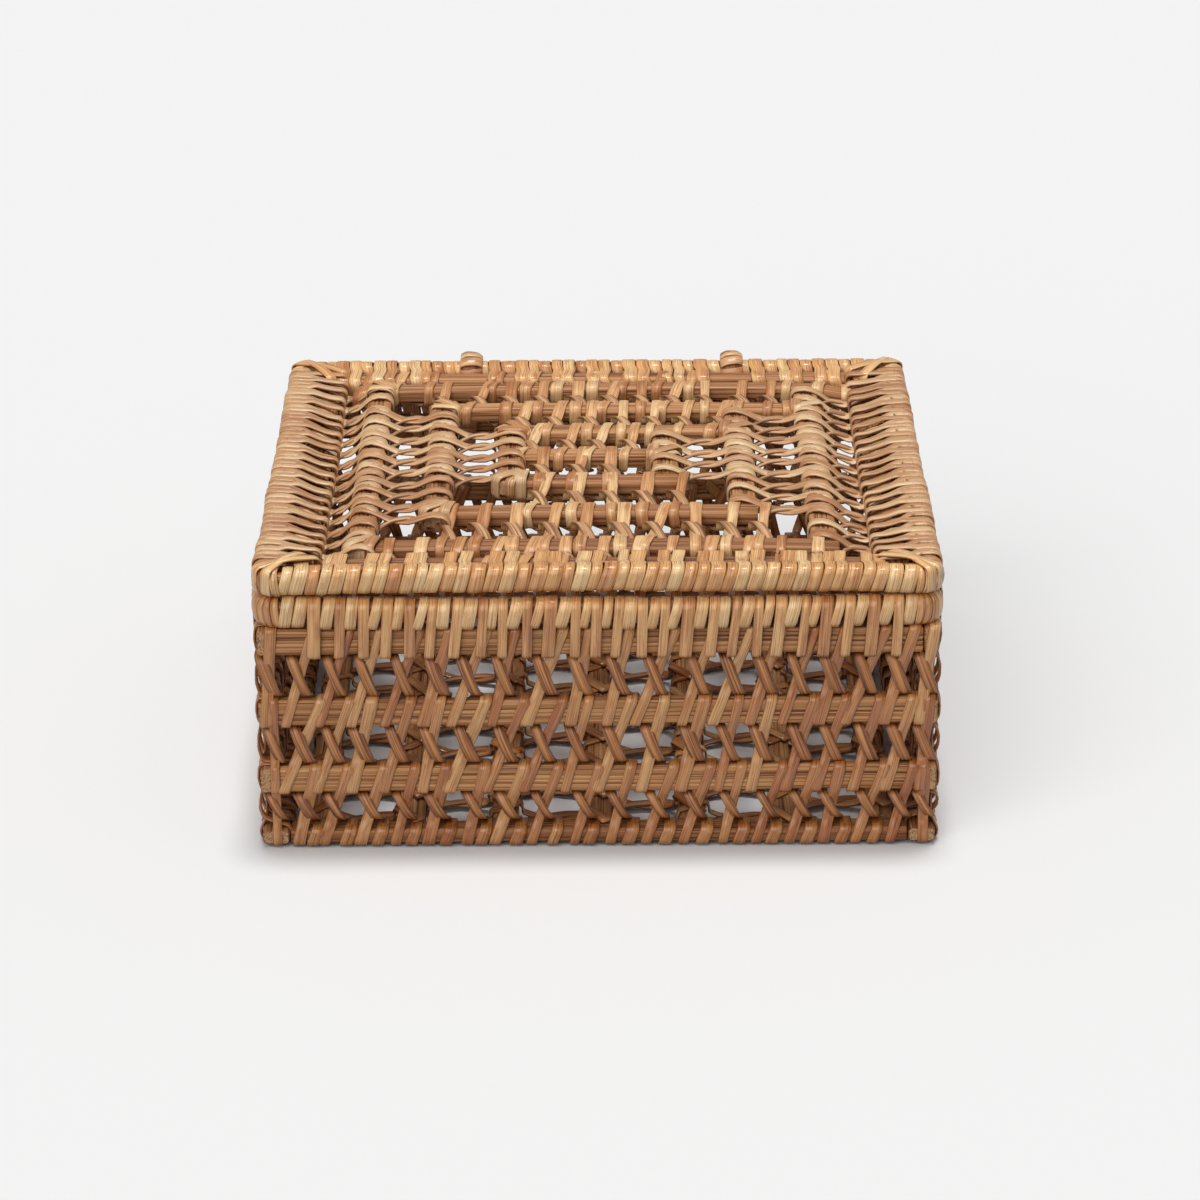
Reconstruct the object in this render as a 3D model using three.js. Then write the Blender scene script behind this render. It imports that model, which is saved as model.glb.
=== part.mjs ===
// Rattan napkin box: a square open-work box with a lid on two cane hinge loops.
// Sizes are in millimetres and +Z is up. The hinges are at the rear, which is +Y.
import * as THREE from "three";

// Whole box
const boxSide = 180;
const clearance = 0.3;

// Split rattan bars, which all panels are made of
const barWidth = 7.2;
const barThickness = 4;
const barChamfer = 0.6;

// Flat lacing strip that ties the bars together
const stripWidth = 2.8;
const stripThickness = 0.8;
const stitchPitch = 9.3;
const stitchSlant = 4.5;
const baseStitchPitch = 18.6;

// Bound rims of the box and of the lid
const rimSize = 7.2;
const rimChamfer = 2.1;
const rimCornerSlope = 0.9;
const lidGap = 0.5;

// Open spaces between the bars of a wall
const lowerGap = 10.7;
const middleGap = 11.7;
const upperGap = 12.6;

// Lid coil: how far in from the lid's edge the first turn lies on each side, and the step per turn there
const coilInset = { rear: 23.8, left: 27.5, front: 24.3, right: 30 };
const coilPitch = { rear: 20.6, left: 19.3, front: 24.3, right: 20.6 };
const coilTurns = 3;

// Bars in the floor of the box
const baseBarCount = 7;

// Hinge loops
const loopSpread = 76;
const loopWidth = 7;
const loopThickness = 3;
const loopChamfer = 1;
const loopCornerRadius = 3;
const loopCornerSteps = 3;

// Colours of the untreated cane
const coreFinish = { color: 0xa9805a, roughness: 0.75, metalness: 0 };
const stripFinish = { color: 0xc79a66, roughness: 0.6, metalness: 0 };
const rimFinish = { color: 0xb98850, roughness: 0.6, metalness: 0 };
const loopFinish = { color: 0xb07a4a, roughness: 0.65, metalness: 0 };

// Levels and faces that follow from the sizes
const half = boxSide / 2;
const wrap = clearance + stripThickness;
const slot = wrap + clearance;
const wallOuter = half - wrap;
const wallInner = wallOuter - barThickness;
const bottomRailBase = wrap;
const bottomRailTop = bottomRailBase + barThickness;
const bottomRailInner = wallOuter - barWidth;
const lowerBarBase = bottomRailTop + lowerGap;
const upperBarBase = lowerBarBase + barWidth + middleGap;
const topBarBase = upperBarBase + barWidth + upperGap;
const boxRimBase = topBarBase + barWidth + slot;
const lidRimBase = boxRimBase + rimSize + lidGap;
const rimInner = half - rimSize;
const lidBarBase = lidRimBase + (rimSize - barThickness) / 2;
const lidRailOuter = rimInner - slot;
const lidRailInner = lidRailOuter - barWidth;
const loopOverhang = clearance + loopThickness;
const stitchMargin = wrap + stripWidth / 2 + clearance;
const ply = clearance + stripThickness / 2;

// The lowest lacing row leans in to pass behind the bottom rail, which is deeper than the bars above it.
const rowTop = lowerBarBase + barWidth + ply;
const railLean = (rowTop - bottomRailBase + ply) / (rowTop - bottomRailTop);
const railBack = wallInner - ply - (wallInner - bottomRailInner) * railLean;
const baseReach = railBack - ply;

const part = new THREE.Group();
part.name = "rattan_napkin_box";

// Adds one solid. The whole object is moved forward by half of what the hinge loops stand out at the
// rear, so that the origin lies under the middle of its outline.
function add(name, geometry, finish) {
  geometry.translate(0, -loopOverhang / 2, 0);
  const mesh = new THREE.Mesh(geometry, new THREE.MeshStandardMaterial(finish));
  mesh.name = name;
  part.add(mesh);
}

// Turns points and triangles into a geometry that faces out.
function solid(points, triangles) {
  let volume = 0;
  for (const [a, b, c] of triangles) {
    volume += points[a].dot(new THREE.Vector3().crossVectors(points[b], points[c]));
  }
  const facing = volume < 0 ? triangles.map(([a, b, c]) => [a, c, b]) : triangles;
  const geometry = new THREE.BufferGeometry();
  geometry.setAttribute("position", new THREE.Float32BufferAttribute(points.flatMap((p) => p.toArray()), 3));
  geometry.setIndex(facing.flat());
  geometry.computeVertexNormals();
  return geometry;
}

// Joins rings of equal point count into a tube, with flat ends or closed on itself.
function tube(rings, closed) {
  const count = rings[0].length;
  const points = rings.flat();
  const triangles = [];
  const joins = closed ? rings.length : rings.length - 1;
  for (let r = 0; r < joins; r += 1) {
    const here = r * count;
    const next = ((r + 1) % rings.length) * count;
    for (let i = 0; i < count; i += 1) {
      const j = (i + 1) % count;
      triangles.push([here + i, here + j, next + j], [here + i, next + j, next + i]);
    }
  }
  if (!closed) {
    const last = (rings.length - 1) * count;
    for (let i = 1; i < count - 1; i += 1) {
      triangles.push([0, i + 1, i], [last, last + i, last + i + 1]);
    }
  }
  return solid(points, triangles);
}

// Outline of a rectangle with chamfered corners, as [across, up] pairs round its middle.
function chamferedSection(width, height, chamfer) {
  const w = width / 2;
  const h = height / 2;
  return [
    [w - chamfer, -h], [w, -h + chamfer], [w, h - chamfer], [w - chamfer, h],
    [-w + chamfer, h], [-w, h - chamfer], [-w, -h + chamfer], [-w + chamfer, -h],
  ];
}

// Each side of the box: the way its bars run, and the way out of the box.
const sides = {
  front: { along: new THREE.Vector3(1, 0, 0), out: new THREE.Vector3(0, -1, 0) },
  right: { along: new THREE.Vector3(0, 1, 0), out: new THREE.Vector3(1, 0, 0) },
  rear: { along: new THREE.Vector3(-1, 0, 0), out: new THREE.Vector3(0, 1, 0) },
  left: { along: new THREE.Vector3(0, -1, 0), out: new THREE.Vector3(-1, 0, 0) },
};
const up = new THREE.Vector3(0, 0, 1);

// A point given along a side, out from the middle of the box and up.
function place(side, along, out, height) {
  return new THREE.Vector3()
    .addScaledVector(side.along, along)
    .addScaledVector(side.out, out)
    .addScaledVector(up, height);
}

// A straight bar between two stations along a side. endSlope slants the outer half of both ends back.
function bar(side, from, to, outerFace, base, depth, height, chamfer, endSlope = 0) {
  const section = chamferedSection(depth, height, chamfer);
  const ring = (station, inward) =>
    section.map(([out, rise]) => {
      const cut = Math.max(0, out) * endSlope;
      return place(side, station + inward * cut, outerFace - depth / 2 + out, base + height / 2 + rise);
    });
  return tube([ring(from, 1), ring(to, -1)], false);
}

// Walls: three upright bars per side over a flat bottom rail, under a bound rim. The side bars run through
// to the front and rear faces, and the front and rear bars fit between them.
const throughSides = ["left", "right"];
for (const name of Object.keys(sides)) {
  const side = sides[name];
  const runsThrough = throughSides.includes(name);
  const barReach = runsThrough ? wallOuter : wallInner - clearance;
  const bars = { lower: lowerBarBase, upper: upperBarBase, top: topBarBase };
  for (const level of Object.keys(bars)) {
    const geometry = bar(
      side, -barReach, barReach, wallOuter, bars[level], barThickness, barWidth, barChamfer,
    );
    add(`wall_${name}_${level}_bar`, geometry, coreFinish);
  }
  const railReach = runsThrough ? wallOuter : bottomRailInner - clearance;
  const rail = bar(
    side, -railReach, railReach, wallOuter, bottomRailBase, barWidth, barThickness, barChamfer,
  );
  add(`bottom_rail_${name}`, rail, coreFinish);
}

// Rims: round-edged bound rods. The front and rear rods run through, so the rear rod of the lid can turn in
// place on the rear rim of the box.
for (const name of Object.keys(sides)) {
  const side = sides[name];
  const between = throughSides.includes(name);
  const reach = between ? rimInner - clearance : half;
  const endSlope = between ? 0 : rimCornerSlope;
  const rims = { box: boxRimBase, lid: lidRimBase };
  for (const owner of Object.keys(rims)) {
    const rod = bar(side, -reach, reach, half, rims[owner], rimSize, rimSize, rimChamfer, endSlope);
    add(`${owner}_rim_${name}`, rod, rimFinish);
  }
}

// Lid rails: flat bars just inside the lid's rim.
for (const name of Object.keys(sides)) {
  const reach = throughSides.includes(name) ? lidRailOuter : lidRailInner - clearance;
  const rail = bar(sides[name], -reach, reach, lidRailOuter, lidBarBase, barWidth, barThickness, barChamfer);
  add(`lid_rail_${name}`, rail, coreFinish);
}

// Lid coil: straight bars laid as a square spiral that steps inward one turn at a time. Each bar starts
// against the one before it and runs on past the end of the next one.
const coilOuter = (name, turn) => half - coilInset[name] - (turn - 1) * coilPitch[name] + barWidth / 2;
const coilInner = (name, turn) => coilOuter(name, turn) - barWidth;

// Adds one coil bar. Its ends are given as distances out from the middle of the lid towards the sides
// on its two hands, seen from outside the box.
function addCoilBar(name, turn, leftEnd, rightEnd) {
  const geometry = bar(
    sides[name], -leftEnd, rightEnd, coilOuter(name, turn), lidBarBase, barWidth, barThickness, barChamfer,
  );
  add(`lid_coil_${name}_${turn}`, geometry, coreFinish);
}
for (let turn = 1; turn <= coilTurns; turn += 1) {
  const stop = turn === 1 ? lidRailInner : coilInner("right", turn - 1);
  addCoilBar("rear", turn, stop - clearance, coilOuter("left", turn));
  addCoilBar("left", turn, coilInner("rear", turn) - clearance, coilOuter("front", turn));
  addCoilBar("front", turn, coilInner("left", turn) - clearance, coilOuter("right", turn));
  addCoilBar("right", turn, coilInner("front", turn) - clearance, coilInner("rear", turn) - clearance);
}
const lastTurn = coilTurns + 1;
const lastLeftEnd = coilInner("right", coilTurns) - clearance;
const lastRightEnd = coilInner("left", coilTurns) - clearance;
addCoilBar("rear", lastTurn, lastLeftEnd, lastRightEnd);

// Floor: parallel bars that run from front to rear between the bottom rails.
const baseSpread = baseReach - wrap;
const baseStep = (2 * baseSpread - barWidth) / (baseBarCount - 1);
const baseOuter = (index) => baseSpread - index * baseStep;
for (let index = 0; index < baseBarCount; index += 1) {
  const geometry = bar(
    sides.right, -baseReach, baseReach, baseOuter(index), bottomRailBase, barWidth, barThickness, barChamfer,
  );
  add(`base_bar_${index + 1}`, geometry, coreFinish);
}

// Lacing: one strip per panel that winds round each pair of neighbouring bars in turn. A panel has a face
// that shows, a back, and a way across its bars. A row holds, for one pair of bars, how far across the panel
// it goes (top and bottom), where it starts and stops along them, and how deep its back runs.
function stitchPoints(row, panel, pitch, phase) {
  const start = row.from + stitchSlant;
  const lag = (((phase - start) % pitch) + pitch) % pitch;
  const points = [];
  for (let at = start + lag; at <= row.to; at += pitch) {
    points.push(
      [at, panel.back, row.top],
      [at, panel.face, row.top],
      [at - stitchSlant, panel.face, row.bottom],
      [at - stitchSlant, row.bottomBack, row.bottom],
    );
  }
  return points;
}

// Shift along the bars that keeps a row's strips midway between those of the row before on their shared bar,
// both on the face, which slants one way, and on the back, which carries the step to the next stitch.
function rowShift(before, row, pitch) {
  const edge = barWidth / 2 + clearance + stripThickness / 2;
  const beforePart = edge / (before.top - before.bottom);
  const rowPart = edge / (row.top - row.bottom);
  const onFace = stitchSlant * (1 - beforePart - rowPart);
  const onBack = (pitch + stitchSlant) * (1 - beforePart - rowPart) - pitch;
  return pitch / 2 - (onFace + onBack) / 2;
}

// The strip's centre line: the rows one after another, every second one wound backwards, with the crossings
// between rows carried one strip deeper than the back.
function lacingPath(rows, panel, pitch) {
  const path = [];
  let phase = rows[0].from + stitchSlant;
  let winding = 1;
  rows.forEach((row, index) => {
    if (index > 0) {
      phase += rowShift(rows[index - 1], row, pitch);
    }
    const points = stitchPoints(row, panel, pitch, phase);
    if (points.length === 0) {
      return;
    }
    if (winding < 0) {
      points.reverse();
    }
    if (path.length > 0) {
      const inward = Math.sign(panel.back - panel.face);
      const deep = inward * (Math.max(inward * panel.back, inward * row.bottomBack) + slot);
      const [leaveAt, , leaveAcross] = path[path.length - 1];
      const [meetAt, , meetAcross] = points[0];
      path.push([leaveAt, deep, leaveAcross], [meetAt, deep, meetAcross]);
    }
    path.push(...points);
    winding = -winding;
  });
  return path;
}

// Sweeps the strip along its centre line. Its width always lies along the bars, and its corners are mitred.
function lacing(rows, panel, pitch, toSpace) {
  const path = lacingPath(rows, panel, pitch);
  const normalAfter = (index) => {
    const step = [path[index + 1][1] - path[index][1], path[index + 1][2] - path[index][2]];
    const length = Math.hypot(...step);
    return [-step[1] / length, step[0] / length];
  };
  const rings = path.map(([at, depth, across], index) => {
    const before = normalAfter(Math.max(0, index - 1));
    const after = normalAfter(Math.min(path.length - 2, index));
    const shared = 1 + before[0] * after[0] + before[1] * after[1];
    const offset = [0, 1].map((i) => ((before[i] + after[i]) / shared) * (stripThickness / 2));
    const corner = (hand, layer) =>
      toSpace(at + (hand * stripWidth) / 2, depth + layer * offset[0], across + layer * offset[1]);
    return [corner(-1, -1), corner(1, -1), corner(1, 1), corner(-1, 1)];
  });
  return tube(rings, false);
}

const hingeClear = loopSpread / 2 - loopWidth / 2 - slot - stripWidth / 2;

// Wall lacing: the face is outside, and the way across runs up the wall.
const wallReach = baseReach - stripWidth / 2 - clearance;
for (const name of Object.keys(sides)) {
  const panel = { face: wallOuter + ply, back: wallInner - ply };
  const upperReach = name === "rear" ? Math.min(wallReach, hingeClear) : wallReach;
  const row = (upperBase, lowerBase, reach, bottomBack) => ({
    top: upperBase + barWidth + ply,
    bottom: lowerBase - ply,
    from: -reach,
    to: reach,
    bottomBack,
  });
  const rows = [
    row(topBarBase, upperBarBase, upperReach, panel.back),
    row(upperBarBase, lowerBarBase, wallReach, panel.back),
    row(lowerBarBase, bottomRailBase, wallReach, railBack),
  ];
  const toSpace = (at, depth, across) => place(sides[name], at, depth, across);
  add(`wall_lacing_${name}`, lacing(rows, panel, stitchPitch, toSpace), stripFinish);
}

// Lid lacing: the face is on top, and the way across runs out from the middle of the lid. A row stops where
// the next bar of the coil butts against its own.
const lidPanel = { face: lidBarBase + barThickness + ply, back: lidBarBase - ply };
const neighbours = {
  front: ["left", "right"],
  right: ["front", "rear"],
  rear: ["right", "left"],
  left: ["rear", "front"],
};
for (const name of Object.keys(sides)) {
  const turns = name === "rear" ? lastTurn : coilTurns;
  const rows = [];
  for (let turn = 1; turn <= turns; turn += 1) {
    const [leftReach, rightReach] = neighbours[name].map((other) => {
      const last = other === "rear" ? lastTurn : coilTurns;
      const blocked = other === "rear" && (name === "right" || turn === coilTurns);
      return coilInner(other, Math.min(last, blocked ? turn + 1 : turn)) - stitchMargin;
    });
    const limit = name === "rear" && turn === 1 ? hingeClear : half;
    rows.push({
      top: (turn === 1 ? lidRailOuter : coilOuter(name, turn - 1)) + ply,
      bottom: coilInner(name, turn) - ply,
      from: -Math.min(leftReach, limit),
      to: Math.min(rightReach, limit),
      bottomBack: lidPanel.back,
    });
  }
  const toSpace = (at, depth, across) => place(sides[name], at, across, depth);
  add(`lid_lacing_${name}`, lacing(rows, lidPanel, stitchPitch, toSpace), stripFinish);
}

// Floor lacing: the face is underneath, and the way across runs from right to left.
const basePanel = { face: bottomRailBase - ply, back: bottomRailTop + ply };
const baseRows = [];
for (let index = 0; index < baseBarCount - 1; index += 1) {
  baseRows.push({
    top: baseOuter(index) + ply,
    bottom: baseOuter(index + 1) - barWidth - ply,
    from: -baseReach + stitchMargin,
    to: baseReach - stitchMargin,
    bottomBack: basePanel.back,
  });
}
const baseToSpace = (at, depth, across) => place(sides.right, at, across, depth);
add("base_lacing", lacing(baseRows, basePanel, baseStitchPitch, baseToSpace), stripFinish);

// Hinge loops: each goes over the lid's rear edge, down behind both rims, in under the top bar of the rear
// wall and up through the lid in front of its rail.
const loopPly = clearance + loopThickness / 2;
const loopCorners = [
  [half + loopPly, topBarBase - loopPly],
  [half + loopPly, lidRimBase + rimSize + loopPly],
  [lidRailInner - loopPly, lidRimBase + rimSize + loopPly],
  [lidRailInner - loopPly, lidBarBase - loopPly],
  [wallInner - loopPly, topBarBase - loopPly],
];
const loopPath = new THREE.CurvePath();
loopCorners.forEach(([out, rise], index) => {
  const corner = new THREE.Vector2(out, rise);
  const [beforePoint, afterPoint] = [loopCorners.length - 1, 1].map(
    (step) => new THREE.Vector2(...loopCorners[(index + step) % loopCorners.length]),
  );
  const start = corner.clone().add(beforePoint.sub(corner).setLength(loopCornerRadius));
  const end = corner.clone().add(afterPoint.sub(corner).setLength(loopCornerRadius));
  loopPath.add(new THREE.QuadraticBezierCurve(start, corner, end));
});
const loopStations = loopPath.curves.flatMap((curve) => curve.getPoints(loopCornerSteps));
const loopSection = chamferedSection(loopWidth, loopThickness, loopChamfer);
const loopHands = { left: -1, right: 1 };
for (const hand of Object.keys(loopHands)) {
  const rings = loopStations.map((station, index) => {
    const before = loopStations[(index + loopStations.length - 1) % loopStations.length];
    const after = loopStations[(index + 1) % loopStations.length];
    const heading = after.clone().sub(before).normalize();
    return loopSection.map(([across, layer]) => {
      const out = station.x + layer * heading.y;
      const rise = station.y - layer * heading.x;
      return new THREE.Vector3((loopHands[hand] * loopSpread) / 2 + across, out, rise);
    });
  });
  add(`hinge_loop_${hand}`, tube(rings, true), loopFinish);
}

export default part;
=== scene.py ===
import math
from collections import namedtuple

import bpy
import numpy as np
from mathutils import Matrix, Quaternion, Vector


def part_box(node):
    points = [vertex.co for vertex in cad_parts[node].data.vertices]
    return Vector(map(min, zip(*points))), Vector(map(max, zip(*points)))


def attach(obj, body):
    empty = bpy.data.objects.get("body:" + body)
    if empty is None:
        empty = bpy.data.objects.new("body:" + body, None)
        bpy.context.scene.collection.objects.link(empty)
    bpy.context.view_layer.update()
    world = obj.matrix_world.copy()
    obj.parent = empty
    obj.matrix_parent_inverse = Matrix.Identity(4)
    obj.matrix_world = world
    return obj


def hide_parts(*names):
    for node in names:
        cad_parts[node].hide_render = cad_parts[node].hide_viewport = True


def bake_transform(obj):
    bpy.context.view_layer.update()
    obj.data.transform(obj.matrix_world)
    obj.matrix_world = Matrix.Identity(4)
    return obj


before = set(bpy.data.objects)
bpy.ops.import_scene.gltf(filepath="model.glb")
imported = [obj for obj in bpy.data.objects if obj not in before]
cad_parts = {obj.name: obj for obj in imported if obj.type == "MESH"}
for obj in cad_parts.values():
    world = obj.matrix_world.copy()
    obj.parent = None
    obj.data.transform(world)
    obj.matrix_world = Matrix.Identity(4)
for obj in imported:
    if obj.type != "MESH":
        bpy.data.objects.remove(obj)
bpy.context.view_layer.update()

# Bottom rails: four split rattan bars laid flat round the foot of the box. A bar is four splints side by
# side with the bark shaved off, so its broad faces show long grooves and its sawn ends show the pores.
# Lengths of the box and its pieces are in millimetres. A tone runs from 0, dark, to 1, pale.
MM = 0.001
side_ways = {
    "front": ((1, 0, 0), (0, -1, 0)),
    "right": ((0, 1, 0), (1, 0, 0)),
    "rear": ((-1, 0, 0), (0, 1, 0)),
    "left": ((0, -1, 0), (-1, 0, 0)),
}
through_sides = ("left", "right")
splint_count = 4
edge_round = 1.15
edge_angles = (0, 45, 90)
groove_width = 0.36
groove_depth = 0.2
edge_groove_depth = 0.14
splint_crown = 0.05
splint_drift = 0.1
splint_wave = 60
groove_play = 0.5
groove_wave = 45
bar_bow = 0.25
bow_wave = 130
free_end = 20
bar_step = 6.0
saw_chamfer = 0.35
wave_shares = (1.0, 0.6, 0.3)
relief_strength = 0.6
grain_layers = 100
# The bottom rails get darker tones than the other bars: partly their own darker colour, partly painted shade
# near the floor.
rail_shade_tones = (0.0, 0.3)


def node_corners(node):
    """Lowest and highest corner of a CAD node, in millimetres."""
    low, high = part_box(node)
    return np.array(low) / MM, np.array(high) / MM


box_middle = (node_corners("bottom_rail_left")[0] + node_corners("bottom_rail_right")[1]) / 2
box_middle[2] = 0


def in_space(side, along, out, up):
    """Points given along a side, out from the middle of the box and up, in millimetres."""
    along_way, out_way = side_ways[side]
    points = np.multiply.outer(along, along_way) + np.multiply.outer(out, out_way)
    return box_middle + points + np.multiply.outer(up, (0, 0, 1))


def reach(node, side):
    """Where a node lies along a side, out from the middle and up: three (from, to) pairs."""
    low, high = node_corners(node)
    ways = (*side_ways[side], (0, 0, 1))
    return [sorted(((low - box_middle) @ way, (high - box_middle) @ way)) for way in ways]


def wander(rng, along, size, wavelength):
    """A slow random drift along a piece, made of three waves."""
    drift = np.zeros(len(along))
    for share in wave_shares:
        drift += share * np.sin(2 * np.pi * along / (wavelength * share) + rng.uniform(0, 2 * np.pi))
    return size * drift / 2


def skin(rings, closed):
    """Four-sided faces over a row of rings, turned to face outwards."""
    stations, around = rings.shape[:2]
    row = np.arange(stations if closed else stations - 1)[:, None]
    step = np.arange(around)[None, :]
    here, there = row * around, (row + 1) % stations * around
    quads = np.stack((here + step, here + (step + 1) % around,
                      there + (step + 1) % around, there + step), axis=-1).reshape(-1, 4)
    a, b, c, d = (rings.reshape(-1, 3)[quads[:, corner]] - rings.mean((0, 1)) for corner in range(4))
    volume = np.sum(a * np.cross(b, c)) + np.sum(a * np.cross(c, d))
    return quads if volume > 0 else quads[:, ::-1]


def runs_forward(quads):
    """Whether a skin's faces go round in the rings' own order. The fan on its first end then goes back."""
    return quads[0][1] == 1


def as_body(rings, faces, grain, finish):
    """A body of (points, faces, grain, finish) from rings of points."""
    return rings.reshape(-1, 3), faces, grain.reshape(-1, 3), finish.reshape(-1, 3)


def build_piece(name, bodies, material, body, slot, *nodes):
    """One mesh from several bodies of (points, faces, grain, finish), set in place of its CAD nodes."""
    corners, sizes, count = [], [], 0
    for points, faces, _, _ in bodies:
        for group in faces:
            corners.append((group + count).ravel())
            sizes.append(np.full(len(group), group.shape[1]))
        count += len(points)
    corners, sizes = np.concatenate(corners), np.concatenate(sizes)
    mesh = bpy.data.meshes.new(name)
    mesh.vertices.add(count)
    mesh.vertices.foreach_set("co", np.concatenate([part[0] for part in bodies]).ravel() * MM)
    mesh.loops.add(len(corners))
    mesh.loops.foreach_set("vertex_index", corners.astype(np.int32))
    mesh.polygons.add(len(sizes))
    mesh.polygons.foreach_set("loop_start", (np.cumsum(sizes) - sizes).astype(np.int32))
    mesh.polygons.foreach_set("use_smooth", np.ones(len(sizes), bool))
    for index, field in ((2, "grain"), (3, "finish")):
        layer = mesh.attributes.new(field, "FLOAT_VECTOR", "POINT")
        layer.data.foreach_set("vector", np.concatenate([part[index] for part in bodies]).ravel())
    mesh.update(calc_edges=True)
    mesh.materials.append(material)
    piece = bpy.data.objects.new(name, mesh)
    bpy.context.scene.collection.objects.link(piece)
    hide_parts(*nodes)
    if body:
        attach(piece, body)
    return piece


def bar_section(broad, thick):
    """Outline of a bar: places on the broad and thick axes, way out, splint number and groove depth."""
    rows = []
    flat, upright = broad / 2 - edge_round, thick / 2 - edge_round
    splint_width = 2 * flat / splint_count
    bend = np.radians(edge_angles)
    last = splint_count - 1

    def edge_point(hand, way, angle):
        """A point on a rounded edge, towards the face that the way points to."""
        out, up = np.sin(angle), np.cos(angle)
        return (-hand * (flat + edge_round * out), way * (upright + edge_round * up),
                -hand * out, way * up, last, 0)

    for hand in (1, -1):
        for splint in range(splint_count):
            middle = flat - (splint + 0.5) * splint_width
            rows.append((hand * middle, hand * (thick / 2 + splint_crown), 0, hand, splint, 0))
            if splint < last:
                groove = middle - splint_width / 2
                for across, owner, depth in ((groove + groove_width / 2, splint, 0),
                                             (groove, splint, groove_depth),
                                             (groove - groove_width / 2, splint + 1, 0)):
                    rows.append((hand * across, hand * thick / 2, 0, hand, owner, depth))
        rows += [edge_point(hand, hand, angle) for angle in bend]
        rows.append((-hand * broad / 2, 0, -hand, 0, last, edge_groove_depth))
        rows += [edge_point(hand, -hand, angle) for angle in bend[::-1]]
    return np.array(rows).T


def bar_bodies(node, side, tones=(0.5, 1.0)):
    """A grooved bar in the place of a CAD node, with sawn ends. Its tone is picked between two limits."""
    rng = np.random.default_rng(list(node.encode()))
    (start, stop), (inner, outer), (base, top) = reach(node, side)
    upright = top - base > outer - inner
    broad, thick = (top - base, outer - inner) if upright else (outer - inner, top - base)
    across, deep, way_across, way_deep, splint, depth = bar_section(broad, thick)
    inside = np.linspace(start + saw_chamfer, stop - saw_chamfer, max(3, int((stop - start) / bar_step)))
    along = np.concatenate(([start], inside, [stop]))
    drifts = [wander(rng, along, splint_drift, splint_wave) for _ in range(splint_count)]
    lift = np.stack(drifts, axis=1)[:, splint.astype(int)]
    groove = depth * (1 + wander(rng, along, groove_play, groove_wave))[:, None]
    sawn = np.where((along == start) | (along == stop), saw_chamfer, 0)[:, None]
    shift = lift - groove - sawn
    free = np.minimum(along - start, stop - along) / free_end
    bow = wander(rng, along, bar_bow, bow_wave)[:, None] * np.clip(free, 0, 1)[:, None]
    broad_place = across + shift * way_across
    thick_place = deep + shift * way_deep
    out, up = (thick_place, broad_place + bow) if upright else (broad_place + bow, thick_place)
    along_grid = np.broadcast_to(along[:, None], out.shape)
    rings = in_space(side, along_grid, out + (inner + outer) / 2, up + (base + top) / 2)
    layer = rng.uniform(0, grain_layers)
    tone = rng.uniform(*tones)
    round_trip = np.cumsum(np.hypot(np.diff(across, append=across[0]), np.diff(deep, append=deep[0])))
    grain = np.stack(np.broadcast_arrays(along_grid, round_trip, layer), axis=-1)
    crease = np.clip(depth / groove_depth, 0, 1)
    finish = np.stack(np.broadcast_arrays(tone, np.broadcast_to(crease, out.shape), 0.0), axis=-1)
    faces = skin(rings, False)
    bodies = [as_body(rings, [faces], grain, finish)]
    forward = runs_forward(faces)
    for station, goes_back in ((0, forward), (-1, not forward)):
        rim = rings[station]
        points = np.concatenate((rim, rim.mean(0)[None]))
        count = len(rim)
        fan = np.stack((np.full(count, count), np.arange(count), (np.arange(count) + 1) % count), axis=1)
        end_grain = np.stack((np.append(across, 0), np.append(deep, 0), np.full(count + 1, layer)), axis=1)
        end_finish = np.tile((tone, 0.0, 1.0), (count + 1, 1))
        bodies.append((points, [fan[:, ::-1] if goes_back else fan], end_grain, end_finish))
    return bodies


def seen(red, green, blue):
    """A colour given as it is seen, 0 to 255, in the renderer's own scale, by the usual screen curve."""
    shares = [value / 255 for value in (red, green, blue)]
    return (*(((share + 0.055) / 1.055) ** 2.4 for share in shares), 1.0)


def feed(tree, socket, value):
    """Sets a socket, or joins another node's output to it."""
    if isinstance(value, bpy.types.NodeSocket):
        tree.links.new(value, socket)
    else:
        socket.default_value = value


def stored(tree, field):
    """The three numbers that a piece stores with each of its points."""
    reader = tree.nodes.new("ShaderNodeAttribute")
    reader.attribute_name = field
    parts = tree.nodes.new("ShaderNodeSeparateXYZ")
    tree.links.new(reader.outputs["Vector"], parts.inputs[0])
    return parts.outputs


def reckon(tree, operation, first, second=0.0):
    """One sum on two values."""
    node = tree.nodes.new("ShaderNodeMath")
    node.operation = operation
    feed(tree, node.inputs[0], first)
    feed(tree, node.inputs[1], second)
    return node.outputs[0]


def weighed(tree, first, first_share, second, second_share):
    """Two values added up by their shares."""
    return reckon(tree, "ADD", reckon(tree, "MULTIPLY", first, first_share),
                  reckon(tree, "MULTIPLY", second, second_share))


def fibres(tree, grain, along_scale, across_scale, detail):
    """Noise drawn out along the fibres, from the grain stored with a piece."""
    spot = tree.nodes.new("ShaderNodeCombineXYZ")
    for socket, value, scale in zip(spot.inputs, grain, (along_scale, across_scale, 1.0)):
        feed(tree, socket, reckon(tree, "MULTIPLY", value, scale))
    noise = tree.nodes.new("ShaderNodeTexNoise")
    noise.inputs["Scale"].default_value = 1.0
    noise.inputs["Detail"].default_value = detail
    tree.links.new(spot.outputs[0], noise.inputs["Vector"])
    return noise.outputs[0]


def colour_scale(tree, value, *stops):
    """Colours along a scale, each stop a (place, colour) pair."""
    ramp = tree.nodes.new("ShaderNodeValToRGB")
    elements = ramp.color_ramp.elements
    elements.remove(elements[1])
    elements[0].position, elements[0].color = stops[0]
    for place, colour in stops[1:]:
        elements.new(place).color = colour
    feed(tree, ramp.inputs[0], value)
    return ramp.outputs[0]


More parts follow.
